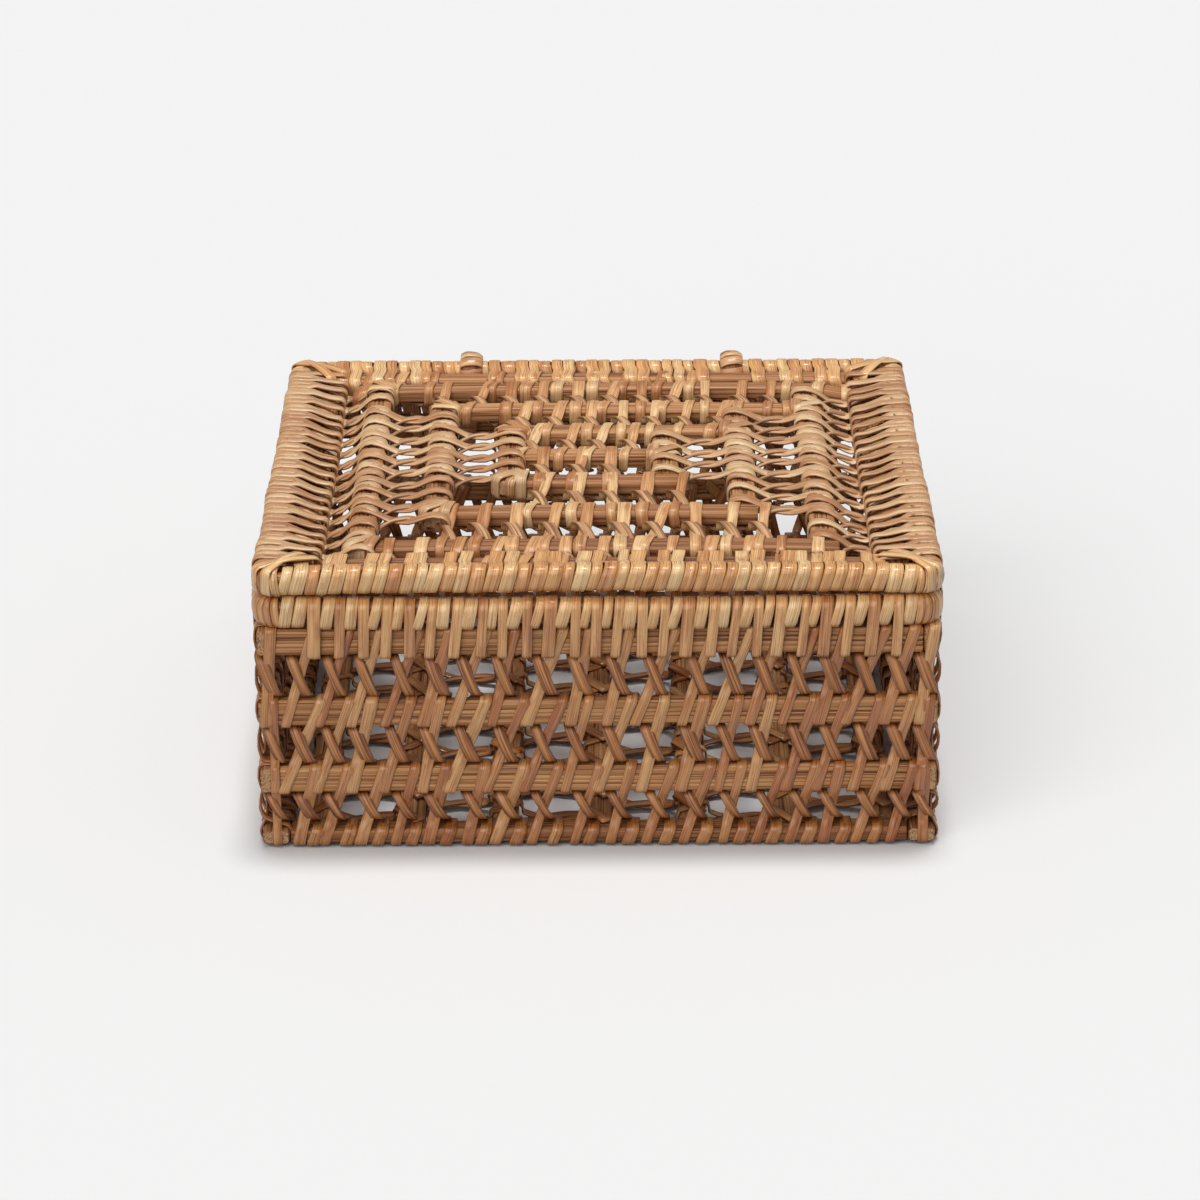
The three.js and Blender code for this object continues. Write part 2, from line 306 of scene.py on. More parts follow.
def mixed(tree, share, first, second, way="MIX"):
    """Two colours mixed by a share. The node takes colours at inputs 6 and 7 and gives one at output 2."""
    node = tree.nodes.new("ShaderNodeMix")
    node.data_type = "RGBA"
    node.blend_type = way
    feed(tree, node.inputs[0], share)
    feed(tree, node.inputs[6], first)
    feed(tree, node.inputs[7], second)
    return node.outputs[2]


def relief(tree, surface, height, depth):
    """Fine relief on a surface, its depth in millimetres."""
    bump = tree.nodes.new("ShaderNodeBump")
    bump.inputs["Strength"].default_value = relief_strength
    bump.inputs["Distance"].default_value = depth * MM
    tree.links.new(height, bump.inputs["Height"])
    tree.links.new(bump.outputs[0], surface.inputs["Normal"])


def new_material(name):
    """An empty surface, with its node tree and its shader."""
    material = bpy.data.materials.new(name)
    material.use_nodes = True
    return material, material.node_tree, material.node_tree.nodes["Principled BSDF"]


streak_browns = ((0.4, seen(116, 66, 36)), (0.47, seen(188, 132, 84)), (0.62, seen(224, 174, 122)))
bar_tints = ((0.0, seen(190, 168, 150)), (0.5, seen(226, 212, 200)), (1.0, seen(255, 250, 242)))
pore_browns = ((0.16, seen(84, 52, 34)), (0.3, seen(176, 130, 90)), (0.7, seen(206, 164, 118)))
# Painted shade in the grooves between the splints: a dark brown, mixed in by each groove's depth.
groove_shade_brown = seen(92, 52, 30)
groove_shade = 0.55
coarse_streaks = 0.55
fine_streaks = 0.45
streak_depth = 0.25
pore_scale = 1.7
bar_roughness = 0.55
bar_gloss = 0.4
peeled_cane, tree, surface = new_material("peeled_cane")
grain = stored(tree, "grain")
tone, crease, sawn_end = stored(tree, "finish")
coarse = fibres(tree, grain, along_scale=0.015, across_scale=1.3, detail=2.0)
fine = fibres(tree, grain, along_scale=0.03, across_scale=4.2, detail=3.0)
streak = weighed(tree, coarse, coarse_streaks, fine, fine_streaks)
wood = colour_scale(tree, streak, *streak_browns)
tint = colour_scale(tree, tone, *bar_tints)
wood = mixed(tree, 1.0, wood, tint, "MULTIPLY")
# Painted shade: the grooves between the splints are darkened, as shade falls in them.
wood = mixed(tree, reckon(tree, "MULTIPLY", crease, groove_shade), wood, groove_shade_brown)
pores = tree.nodes.new("ShaderNodeTexVoronoi")
pores.inputs["Scale"].default_value = pore_scale
pore_spot = tree.nodes.new("ShaderNodeCombineXYZ")
for socket, value in zip(pore_spot.inputs, grain):
    tree.links.new(value, socket)
tree.links.new(pore_spot.outputs[0], pores.inputs["Vector"])
end_wood = colour_scale(tree, pores.outputs["Distance"], *pore_browns)
wood = mixed(tree, sawn_end, wood, end_wood)
tree.links.new(wood, surface.inputs["Base Color"])
surface.inputs["Roughness"].default_value = bar_roughness
surface.inputs["Specular IOR Level"].default_value = bar_gloss
relief(tree, surface, streak, streak_depth)

for side in side_ways:
    node = f"bottom_rail_{side}"
    build_piece(f"{node}_splints", bar_bodies(node, side, rail_shade_tones), peeled_cane, "box", "core", node)

# Floor bars: seven more split bars, laid flat from front to rear between the bottom rails. They carry
# what is put in the box.
floor_bars = [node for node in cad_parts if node.startswith("base_bar_")]
for node in sorted(floor_bars):
    build_piece(f"{node}_splints", bar_bodies(node, "right"), peeled_cane, "box", "core", node)

# Floor lacing: flat cane strip that ties each floor bar to the next. A stitch runs at a slant over both bars,
# turns round the second, comes forward between them and crosses its own run before it goes on behind.
strand_length = 400
strip_width = 3.15
strip_thickness = 0.6
strip_ply = 0.05
strip_layer = strip_thickness + strip_ply
strip_step = 3.0
wide_gap = 9.0
bend_share = 0.48
sharp_turn = -0.7
sharp_steps = 5
soft_steps = 3
width_play = 0.09
width_wave = 17
lean_gain = 3
edge_drop = 0.3
hump_bend = 3
edge_bend = 1.5
sunk_bend = 2.5
sunk_share = 0.85
knot_reach = 2.05
knot_dip = 1.5
knot_level = 0.1
knot_bend = 3
turn_bend = 1.6
back_bend = 1.2
back_rise = 0.4
back_room = 0.6
back_tuck = 1.2
foot_shift = 0.5
foot_bend = 0.9
fold_shift = 0.1
tail_shift = 0.6
tail_slack = 0.2
tail_bend = 0.5
place_play = 0.85
lean_play = 0.12
width_limits = (0.8, 1.14)
floor_seed = 7
floor_pitch = 18.6
floor_margin = 6.0
# A Bar is a bar as a stitch meets it: its two edges, its face and its back. A Manner is how stitches lie:
# their lean, how far they sink into the gap, their hump on the bars and the bend of their folds, how far
# the knot stands out and how high it starts, and the strip's width with what the knot adds to it.
Bar = namedtuple("Bar", "low high face back")
Manner = namedtuple("Manner", "lean sink hump fold knot foot width spread")
floor_manner = Manner(lean=0.3, sink=1.4, hump=0.0, fold=1.2, knot=0.1, foot=0.0, width=1.0, spread=0.0)
strip_outline = np.array((
    (-1.0, 0.43), (-0.88, 0.9), (0.0, 1.02), (0.88, 0.9), (1.0, 0.43), (0.95, 0.0), (0.0, 0.04), (-0.95, 0.0),
))
strip_skin = np.array((0.8, 1.0, 1.0, 1.0, 0.8, 0.0, 0.0, 0.0))
# Where a strip gets painted shade: most at its sides, where it meets its neighbours.
strip_edge_shade = np.array((1.0, 0.1, 0.0, 0.1, 1.0, 1.0, 0.15, 1.0))


def round_line(corners, closed):
    """A line through corner points of (along, face, across, bend radius), with its bends rounded off."""
    corners = np.asarray(corners, float)
    places, radii = corners[:, :3], corners[:, 3]
    line = []
    count = len(corners)
    for index in range(count):
        spot = places[index]
        if not closed and index in (0, count - 1):
            line.append(spot)
            continue
        back, ahead = places[index - 1] - spot, places[(index + 1) % count] - spot
        back_length, ahead_length = np.linalg.norm(back), np.linalg.norm(ahead)
        cut = min(radii[index], bend_share * back_length, bend_share * ahead_length)
        enter, leave = spot + back / back_length * cut, spot + ahead / ahead_length * cut
        sharp = back @ ahead / (back_length * ahead_length) > sharp_turn and radii[index] > 1
        for share in np.linspace(0, 1, sharp_steps if sharp else soft_steps):
            line.append((1 - share) ** 2 * enter + 2 * share * (1 - share) * spot + share ** 2 * leave)
    line = np.array(line + line[:1] if closed else line)
    fuller = [line[:1]]
    for here, there in zip(line[:-1], line[1:]):
        pieces = max(1, round(np.linalg.norm(there - here) / strip_step))
        fuller.append(here + (there - here) * (np.arange(1, pieces + 1) / pieces)[:, None])
    line = np.concatenate(fuller)
    return line[:-1] if closed else line


def end_faces(rings, quads):
    """Three-sided faces over both ends of a row of rings, turned as its skin is."""
    stations, around = rings.shape[:2]
    fan = np.array([(0, step, step + 1) for step in range(1, around - 1)])
    ends = np.concatenate((fan, fan[:, ::-1] + (stations - 1) * around))
    return ends[:, ::-1] if runs_forward(quads) else ends


def strip_body(corners, to_space, rng, width, tone, closed=False, narrowing=None, spread=0.0):
    """A flat strip along corner points. Its width lies along the bars, and its skin faces away from them.
    A narrowing gives face levels and the shares of the full width that the strip has there. The spread is
    what a knot, which leans the other way, adds to its width."""
    line = round_line(corners, closed)
    if closed:
        heading = np.roll(line, -1, 0) - np.roll(line, 1, 0)
    else:
        heading = np.gradient(line, axis=0)
    heading /= np.linalg.norm(heading, axis=1, keepdims=True)
    wide = np.array((1.0, 0.0, 0.0)) - heading * heading[:, :1]
    wide /= np.linalg.norm(wide, axis=1, keepdims=True)
    outward = np.cross(wide, heading)
    length = np.concatenate(([0], np.cumsum(np.linalg.norm(np.diff(line, axis=0), axis=1))))
    half = width / 2 * (1 + wander(rng, length, width_play, width_wave))
    if closed:
        half[:] = width / 2
    else:
        half *= 1 + spread * np.clip(-lean_gain * heading[:, 0] * heading[:, 2], 0, 1)
    if narrowing:
        half *= np.interp(line[:, 1], *narrowing)
    sideways = half[:, None] * strip_outline[:, 0]
    rise = strip_thickness * strip_outline[:, 1]
    grid = line[:, None] + sideways[..., None] * wide[:, None] + rise[None, :, None] * outward[:, None]
    rings = to_space(grid[..., 0], grid[..., 1], grid[..., 2])
    faces = [skin(rings, closed)]
    if not closed:
        faces.append(end_faces(rings, faces[0]))
    start = rng.uniform(0, strand_length)
    layer = rng.uniform(0, grain_layers)
    grain = np.stack(np.broadcast_arrays((start + length)[:, None], sideways, layer), axis=-1)
    finish = np.stack(np.broadcast_arrays(tone, strip_skin, strip_edge_shade), axis=-1)
    finish = np.broadcast_to(finish, grain.shape)
    return as_body(rings, faces, grain, finish)


def run_corners(lower, upper, centre, manner):
    """Corner points of the part of a stitch that shows, from one bar over the gap to the other."""
    gap = upper.low - lower.high
    middle = lower.high + gap / 2
    sink = manner.sink * min(1, gap / wide_gap)
    corners = [(upper.high + strip_ply, upper.face + strip_ply, manner.fold)]
    if manner.hump:
        corners.append(((upper.low + upper.high) / 2, upper.face + strip_ply + manner.hump, hump_bend))
    corners.append((upper.low, upper.face - edge_drop, edge_bend))
    corners.append((upper.low - gap / 4, upper.face - sunk_share * sink, sunk_bend))
    corners.append((lower.high + gap / 4, lower.face - sunk_share * sink, sunk_bend))
    corners.append((lower.high, lower.face - edge_drop, edge_bend))
    if manner.hump:
        corners.append(((lower.low + lower.high) / 2, lower.face + strip_ply + manner.hump, hump_bend))
    corners.append((lower.low - strip_ply, lower.face + strip_ply, manner.fold))
    return [(centre + manner.lean * (across - middle), face, across, bend) for across, face, bend in corners]


def stitch_corners(lower, upper, centre, pitch, manner):
    """Corner points of one stitch round two bars, from behind the upper bar to where the next one starts."""
    gap = upper.low - lower.high
    share = min(1, gap / wide_gap)
    run = run_corners(lower, upper, centre, manner)
    top, foot = run[0][0], run[-1][0]
    ahead = knot_reach * share
    face = (lower.face + upper.face) / 2 + manner.knot * share
    tucked = face - knot_dip * share
    behind = upper.back - strip_layer
    knot_foot = lower.high + strip_layer + manner.foot * gap
    knot_top = upper.low - strip_layer
    knot_rise = knot_top - knot_foot
    knot_side = face - knot_level * knot_dip * share
    return [
        (top + tail_shift, behind, upper.high - back_tuck, tail_bend),
        (top + fold_shift, upper.back - strip_ply, upper.high + strip_ply, manner.fold),
        *run,
        (foot + foot_shift, lower.back - strip_ply, lower.low - strip_ply, foot_bend),
        (centre + ahead, lower.back - strip_ply, lower.high - back_rise, back_bend),
        (centre + ahead, lower.back + back_room, lower.high + strip_layer, back_bend),
        (centre + ahead, tucked, knot_foot, turn_bend),
        (centre + ahead / 2, knot_side, knot_foot + knot_rise / 4, knot_bend),
        (centre, face, knot_foot + knot_rise / 2, knot_bend),
        (centre - ahead / 2, knot_side, knot_top - knot_rise / 4, knot_bend),
        (centre - ahead, tucked, knot_top, turn_bend),
        (centre - ahead - tail_slack, behind, knot_top, back_bend),
        (top + tail_shift - pitch, behind, upper.high - back_tuck, tail_bend),
    ]


def even_places(start, stop, pitch, swell=0.0):
    """Places from start to stop at about a pitch. A swell sets them wider apart in the middle."""
    count = max(1, round((stop - start) / pitch))
    share = np.linspace(-1, 1, count + 1)
    return (start + stop) / 2 + (stop - start) / 2 * (share + swell * np.sin(np.pi * share) / np.pi)


def lace_row(lower, upper, places, pitch, manner, to_space, rng, clear_of=(), brightest=1.0):
    """Stitches at places along a pair of bars, left out where something else passes."""
    bodies = []
    for place in places:
        centre = place + rng.uniform(-place_play, place_play)
        own_manner = manner._replace(lean=manner.lean + rng.uniform(-lean_play, lean_play))
        width = manner.width * strip_width * rng.uniform(*width_limits)
        tone = rng.uniform(0, brightest)
        if any(abs(centre - spot) < room for spot, room in clear_of):
            continue
        corners = stitch_corners(lower, upper, centre, pitch, own_manner)
        bodies.append(strip_body(corners, to_space, rng, width, tone, spread=manner.spread))
    return bodies


inner_brown = (seen(112, 58, 26), seen(180, 109, 53), seen(220, 156, 92))
stain_brown = seen(172, 97, 44)
fleck_brown = seen(112, 66, 34)
# The dark brown of the painted shade along the strips' edges:
edge_shade_brown = seen(92, 50, 26)
black, white = (0, 0, 0, 1), (1, 1, 1, 1)
shade_places = (0.25, 0.48, 0.7)
rib_places = (0.4, 0.48, 0.62)
fibre_dulls = ((0.36, seen(196, 168, 142)), (0.52, seen(255, 255, 255)))
stain_stops = ((0.56, black), (0.74, white))
fleck_stops = ((0.62, black), (0.74, white))
tone_share = 0.4
patch_share = 0.6
fibre_share = 0.9
stain_share = 0.6
rib_share = 0.6
fine_rib_share = 0.4
fleck_share = 0.4
# How strong the painted shade along the strips' edges is, and how it gathers towards each side:
edge_shade_share = 0.6
edge_power = 2.0
fibre_roughness = 0.3
bark_roughness = -0.25
strip_gloss = 0.8
fibre_depth = 0.12
lacing_dullness = 0.32


def strip_material(name, deep, middle, pale, dullness, inner=inner_brown):
    """Cane strip: smooth bark side with fine fibres, stains and flecks, a rougher, redder inner side,
    and painted shade along its edges, where strips meet.
    """
    material, tree, surface = new_material(name)
    grain = stored(tree, "grain")
    tone, bark, edge = stored(tree, "finish")
    patches = fibres(tree, grain, along_scale=0.06, across_scale=0.9, detail=3.0)
    fine = fibres(tree, grain, along_scale=0.07, across_scale=5.0, detail=3.0)
    stains = fibres(tree, grain, along_scale=0.13, across_scale=0.35, detail=2.0)
    flecks = fibres(tree, grain, along_scale=0.7, across_scale=4.5, detail=2.0)
    shade = weighed(tree, tone, tone_share, patches, patch_share)
    cane = colour_scale(tree, shade, *zip(shade_places, (deep, middle, pale)))
    dull = colour_scale(tree, fine, *fibre_dulls)
    cane = mixed(tree, fibre_share, cane, dull, "MULTIPLY")
    stained = colour_scale(tree, stains, *stain_stops)
    cane = mixed(tree, reckon(tree, "MULTIPLY", stained, stain_share), cane, stain_brown)
    ribs = fibres(tree, grain, along_scale=0.04, across_scale=1.9, detail=2.0)
    ribs = weighed(tree, ribs, rib_share, fine, fine_rib_share)
    back = colour_scale(tree, ribs, *zip(rib_places, inner))
    cane = mixed(tree, bark, back, cane)
    speck = colour_scale(tree, flecks, *fleck_stops)
    cane = mixed(tree, reckon(tree, "MULTIPLY", speck, fleck_share), cane, fleck_brown)
    # Painted shade: the strip's edges are darkened, as shade falls between neighbouring strips.
    rim = reckon(tree, "MULTIPLY", reckon(tree, "POWER", edge, edge_power), edge_shade_share)
    cane = mixed(tree, rim, cane, edge_shade_brown)
    tree.links.new(cane, surface.inputs["Base Color"])
    rough = weighed(tree, fine, fibre_roughness, bark, bark_roughness)
    tree.links.new(reckon(tree, "ADD", rough, dullness), surface.inputs["Roughness"])
    surface.inputs["Specular IOR Level"].default_value = strip_gloss
    relief(tree, surface, fine, fibre_depth)
    return material


lacing_cane = strip_material("lacing_cane", seen(176, 97, 40), seen(212, 148, 86), seen(230, 176, 114),
                             lacing_dullness)


def floor_space(along, face, across):
    """From the floor panel, whose face is underneath, to the box."""
    return in_space("right", along, across, -face)


def floor_bar(node):
    """A floor bar as the floor lacing meets it."""
    _, (inner, outer), (base, top) = reach(node, "right")
    return Bar(inner, outer, -base, -top)


rng = np.random.default_rng(floor_seed)
floor_order = sorted(floor_bars, key=lambda node: reach(node, "right")[1][0])
bodies = []
for number, (near, far) in enumerate(zip(floor_order, floor_order[1:])):
    start, stop = reach(near, "right")[0]
    shift = number % 2 * floor_pitch / 2
    places = even_places(start + floor_margin + shift, stop - floor_margin - shift, floor_pitch)
    bodies += lace_row(floor_bar(near), floor_bar(far), places, floor_pitch, floor_manner, floor_space, rng)
build_piece("base_lacing_strip", bodies, lacing_cane, "box", "strip", "base_lacing")

# Wall bars: three split bars on edge on each side. The side bars run through to the front and rear, and
# their sawn ends show at the corners. The front and rear bars fit between them.
wall_levels = ("lower", "upper", "top")
for side in side_ways:
    for level in wall_levels:
        node = f"wall_{side}_{level}_bar"
        build_piece(f"{node}_splints", bar_bodies(node, side), peeled_cane, "box", "core", node)

# Wall lacing: the same strip in three rows on each side, one row per open gap, with one stitch over the ends
# of the bars at each corner. Short wraps go round the bottom rail between the stitches.
wall_pitch = 9.15
wall_swell = 0.08
wall_reach = 78.2
corner_reach = {"front": 85.4, "rear": 85.4, "left": 83.8, "right": 83.8}
wall_manner = Manner(lean=0.31, sink=1.7, hump=0.0, fold=1.3, knot=0.3, foot=0.0, width=0.98, spread=0.02)
side_wall_manner = wall_manner._replace(hump=0.6, knot=0.9)
foot_row_knots = {"foot": 0.17, "spread": -0.15}
# Painted shade: the lower rows of strips are kept darker, so the walls darken towards the floor.
row_shade_tones = (0.5, 0.85, 1.0)
corner_lean = 0.1
rail_wrap_shift = 2.5
rail_wrap_slant = 0.8
rail_wrap_play = 0.4
rail_wrap_widths = (0.9, 1.1)
# Painted shade: the wraps round the bottom rail are kept dark, near the floor.
rail_wrap_shade_tones = (0, 0.5)
row_play = 0.8
wrap_bend = 1.2
belly_bend = 2
wrap_back_bend = 0.9
hinge_room = 7.4
stitch_room = 5.6
loop_shifts = {"left": 0.5, "right": 1.7}
loop_places = {}
for hand, shift in loop_shifts.items():
    along, _, _ = reach(f"hinge_loop_{hand}", "rear")
    loop_places[hand] = sum(along) / 2 - shift


def loops_at(side, room, crossed=True):
    """Where the hinge loops cross a side: (place, room) pairs that stitches and long turns keep clear of."""
    return [(place, room) for place in loop_places.values()] if side == "rear" and crossed else ()


def wall_space(side):
    """From a wall panel, whose face is outside, to the box."""
    return lambda along, face, across: in_space(side, along, face, across)


def wall_bar(node, side):
    """A wall bar as the wall lacing meets it."""
    _, (inner, outer), (base, top) = reach(node, side)
    return Bar(base, top, outer, inner)


def wrap_corners(bar, centre, slant, hump=0.0):
    """Corner points of one closed wrap round a bar, slanted on its face."""
    face, back = bar.face + strip_ply, bar.back - strip_ply
    low, high = bar.low - strip_ply, bar.high + strip_ply
    return [(centre + slant, face, high, wrap_bend),
            (centre, face + hump, (low + high) / 2, belly_bend),
            (centre - slant, face, low, wrap_bend),
            (centre - slant, back, low, wrap_back_bend),
            (centre + slant, back, high, wrap_back_bend)]


for side in side_ways:
    rng = np.random.default_rng(list(f"wall {side}".encode()))
    rungs = [f"bottom_rail_{side}", *(f"wall_{side}_{level}_bar" for level in wall_levels)]
    panel = wall_space(side)
    bodies = []
    for row, (below, above) in enumerate(zip(rungs, rungs[1:])):
        manner = side_wall_manner if side in through_sides else wall_manner
        if row == 0:
            manner = manner._replace(**foot_row_knots)
        corner_manner = manner._replace(lean=corner_lean)
        inner_places = even_places(-wall_reach, wall_reach, wall_pitch, wall_swell)
        inner_places += rng.uniform(-row_play, row_play)
        corner_places = (-corner_reach[side], corner_reach[side])
        hinges = loops_at(side, stitch_room, above == rungs[-1])
        lower, upper = wall_bar(below, side), wall_bar(above, side)
        bodies += lace_row(lower, upper, inner_places, wall_pitch, manner, panel, rng, hinges, row_shade_tones[row])
        bodies += lace_row(lower, upper, corner_places, 0.0, corner_manner, panel, rng, (), row_shade_tones[row])
        if row == 0:
            for place in inner_places[:-1]:
                centre = place + rail_wrap_shift + rng.uniform(-rail_wrap_play, rail_wrap_play)
                corners = wrap_corners(lower, centre, rail_wrap_slant)
                width = strip_width * rng.uniform(*rail_wrap_widths)
                bodies.append(strip_body(corners, panel, rng, width, rng.uniform(*rail_wrap_shade_tones), True))
    build_piece(f"wall_lacing_{side}_strip", bodies, lacing_cane, "box", "strip", f"wall_lacing_{side}")

# Box rim: a thick rattan rod round the top of the walls, closely bound with strip. Every second turn of the
# binding is long and goes down round the top bars as well, which holds the rim on the walls.
wrap_spread = 0.2
wrap_cover = 0.97
slant_play = 0.35
rim_bend = 3.8
rim_round = 3.0
rim_sway = 0.3
sway_wave = 70
rim_lift = 0.25
rear_lift = 0.1
rim_hinge_room = hinge_room - 1
corner_wraps = 5
bend_slant = 0.4
under_bend = 1.0
rod_sides = 16
rod_play = 0.7
rod_square = 4
rod_turns = (90, 60, 30)
rod_stations = 9
rod_layer = 3.0
rod_bark = 0.6
bow_power = 4
rim_dullness = 0.35
box_long_turns = (1, 2)
long_slant = 0.5
# A RimManner is how a binding lies: the pitch and slant of its turns, how far they droop below the rod, how
# far the rim bows out and up in the middle of a side, and the tones of the short and the long turns.
RimManner = namedtuple("RimManner", "pitch slant droop bow rise short_tones long_tones")
# The box rim's short turns are kept pale, a painted highlight on its top, and its long turns dark, a painted
# shade where they pass under the rim.
box_rim = RimManner(pitch=3.05, slant=0.75, droop=1.0, bow=1.2, rise=-0.4,
                    short_tones=(0.45, 1.0), long_tones=(0.0, 0.55))


def bend_space(side, turn, hand, pivot, sweep):
    """From a rim wrap to the box, swung round the bend at one end of a side, where the wraps fan out."""
    def place(along, out, up):
        angle = turn + along / sweep
        swung = out - pivot
        return in_space(side, hand * (pivot + swung * np.sin(angle)), pivot + swung * np.cos(angle), up)
    return place


def rod_body(side, inner, outer, base, top, pivot, with_bends):
    """The rod inside a rim's binding. The front and rear rods are bent round the corners."""
    middle, size = (inner + outer) / 2, outer - inner - 2 * (strip_thickness + rod_play)
    angles = np.linspace(0, 2 * np.pi, rod_sides, endpoint=False)
    powers = np.abs(np.cos(angles)) ** rod_square + np.abs(np.sin(angles)) ** rod_square
    squared = powers ** (-1 / rod_square)
    across, rise = size / 2 * squared * np.cos(angles), size / 2 * squared * np.sin(angles) + (base + top) / 2
    turns = np.radians(rod_turns) if with_bends else ()
    stations = np.linspace(-pivot, pivot, rod_stations)
    still = np.zeros(rod_sides)
    rings = [bend_space(side, turn, -1, pivot, 1.0)(still, middle + across, rise) for turn in turns]
    rings += [in_space(side, still + station, middle + across, rise) for station in stations]
    rings += [bend_space(side, turn, 1, pivot, 1.0)(still, middle + across, rise) for turn in turns[::-1]]
    rings = np.array(rings)
    faces = skin(rings, False)
    length = np.arange(len(rings)) * 2 * pivot / len(rings)
    grain = np.stack(np.broadcast_arrays(length[:, None], angles * size / 2, rod_layer), axis=-1)
    finish = np.zeros_like(grain)
    finish[..., 1] = rod_bark
    return as_body(rings, [faces, end_faces(rings, faces)], grain, finish)


def rim_binding(side, rim, manner, long_corners, long_turns, rng, clear_of, narrowing=None):
    """The close wraps round a rim rod, with some of them going on round the bar beside it: the first wraps
    of each round, as long_turns gives them in (long, all)."""
    _, (inner, outer), (base, top) = reach(rim, side)
    with_bends = side not in through_sides
    near, far = inner + strip_thickness, outer - strip_thickness
    low, high = base + strip_thickness - manner.droop, top - strip_thickness
    pivot = (inner + outer) / 2 - rim_bend
    shares = rng.uniform(1 - wrap_spread, 1 + wrap_spread, round(2 * pivot / manner.pitch))
    edges = pivot * (2 * np.concatenate(([0], np.cumsum(shares))) / shares.sum() - 1)
    centres, widths = (edges[1:] + edges[:-1]) / 2, np.diff(edges)
    sways = np.stack([wander(rng, centres, rim_sway, sway_wave) for _ in range(2)], axis=1)
    sways += np.outer(1 - (centres / pivot) ** bow_power, (manner.bow, manner.rise))
    most_lift = rim_lift
    if side == "rear":
        sways *= 0
        most_lift = rear_lift
    bodies = []
    for number, (centre, width, (out_sway, up_sway)) in enumerate(zip(centres, widths, sways)):
        lift = rng.uniform(0, most_lift)
        slant = manner.slant + rng.uniform(-slant_play, slant_play)
        short = [(centre + slant, far + lift, high + lift, rim_round),
                 (centre - slant, far + lift, low - lift, rim_round),
                 (centre - slant, near - lift, low - lift, rim_round),
                 (centre + slant, near - lift, high + lift, rim_round)]
        blocked = any(abs(centre - spot) < room for spot, room in clear_of)
        is_long = number % long_turns[1] < long_turns[0] and not blocked and abs(centre) < pivot - strip_width
        corners = long_corners(centre, near, far, low, high, lift, number, rng) if is_long else short
        corners = np.array(corners)
        on_rim = corners[:, 2] > low - 2 * rim_lift
        corners[:, 1] += out_sway * on_rim
        corners[:, 2] += up_sway * on_rim
        tone = rng.uniform(*(manner.long_tones if is_long else manner.short_tones))
        bodies.append(strip_body(corners, wall_space(side), rng, width * wrap_cover, tone, True, narrowing))
    if with_bends:
        sweep = far - pivot
        for hand in (-1, 1):
            for number in range(corner_wraps):
                turn = (number + 0.5) / corner_wraps * np.pi / 2
                lift = rng.uniform(0, most_lift)
                loop = [(bend_slant, far + lift, high + lift, rim_round),
                        (-bend_slant, far + lift, low - lift, rim_round),
                        (-bend_slant, near, low - lift, rim_round),
                        (bend_slant, near, high + lift, rim_round)]
                to_space = bend_space(side, turn, hand, pivot, sweep)
                width = np.pi / 2 * sweep / corner_wraps
                bodies.append(strip_body(loop, to_space, rng, width, rng.uniform(0, 1), True))
    bodies.append(rod_body(side, inner, outer, base, top, pivot, with_bends))
    return bodies


# Painted light: the rims' cane is a paler copy of the lacing cane, for the stronger light on the rims.
lit_rim_cane = strip_material("lit_rim_cane", seen(186, 115, 60), seen(242, 183, 118), seen(252, 214, 156),
                          rim_dullness)
for side in side_ways:
    rng = np.random.default_rng(list(f"box rim {side}".encode()))
    bar = wall_bar(f"wall_{side}_top_bar", side)

    def round_top_bar(centre, near, far, low, high, lift, number, rng):
        """A long wrap: over the rim, down the face of the top bar, under it and up behind."""
        slant = long_slant + rng.uniform(-slant_play, slant_play)
        return [(centre + slant, far + lift, high + lift, rim_round),
                (centre - slant, bar.face + strip_layer, bar.low - strip_thickness / 2, under_bend),
                (centre - slant, bar.back - strip_layer, bar.low - strip_thickness / 2, under_bend),
                (centre + slant, near - lift, high + lift, rim_round)]

    hinges = loops_at(side, rim_hinge_room)
    bodies = rim_binding(side, f"box_rim_{side}", box_rim, round_top_bar, box_long_turns, rng, hinges)
    build_piece(f"box_rim_{side}_binding", bodies, lit_rim_cane, "box", "rim", f"box_rim_{side}")

# Lid rails and coil: the lid's flat bars. Four rails lie just inside its rim, and thirteen bars are laid as a
# square spiral from the rails to the middle, each butted against the one before it. The lid bulges a little,
# and the inner edges of its left and right rails are drawn down.
# Tones of the lid bars by side. The front bars are kept darkest: painted shade on the front of the lid.
lid_bar_shade_tones = {"front": (0.1, 0.6), "rear": (0.45, 1.0), "left": (0.3, 0.8), "right": (0.3, 0.8)}
bulge_height = 1.9
bulge_reach = 78.0
bulge_power = 4
sag_depth = 2.9
sag_place = 73.0
sag_reach = 9.5
coil_turns = {side: sorted(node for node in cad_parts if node.startswith(f"lid_coil_{side}_"))
              for side in side_ways}


def bulged(bodies):
    """Bodies of the lid, raised by its bulge, which is flat in the middle and falls off towards the rim, and
    drawn down along the left and right rails."""
    raised = []
    for points, *rest in bodies:
        away = np.abs(points - box_middle)[:, :2]
        fall = np.clip(away / bulge_reach, 0, 1) ** bulge_power
        sag = np.clip(1 - ((away[:, 0] - sag_place) / sag_reach) ** 2, 0, 1) ** 2
        rise = (bulge_height * (1 - fall[:, 0]) - sag_depth * sag) * (1 - fall[:, 1])
        raised.append((points + np.outer(rise, (0, 0, 1)), *rest))
    return raised


for side in side_ways:
    for node in (f"lid_rail_{side}", *coil_turns[side]):
        bodies = bulged(bar_bodies(node, side, lid_bar_shade_tones[side]))
        build_piece(f"{node}_splints", bodies, peeled_cane, "lid", "core", node)

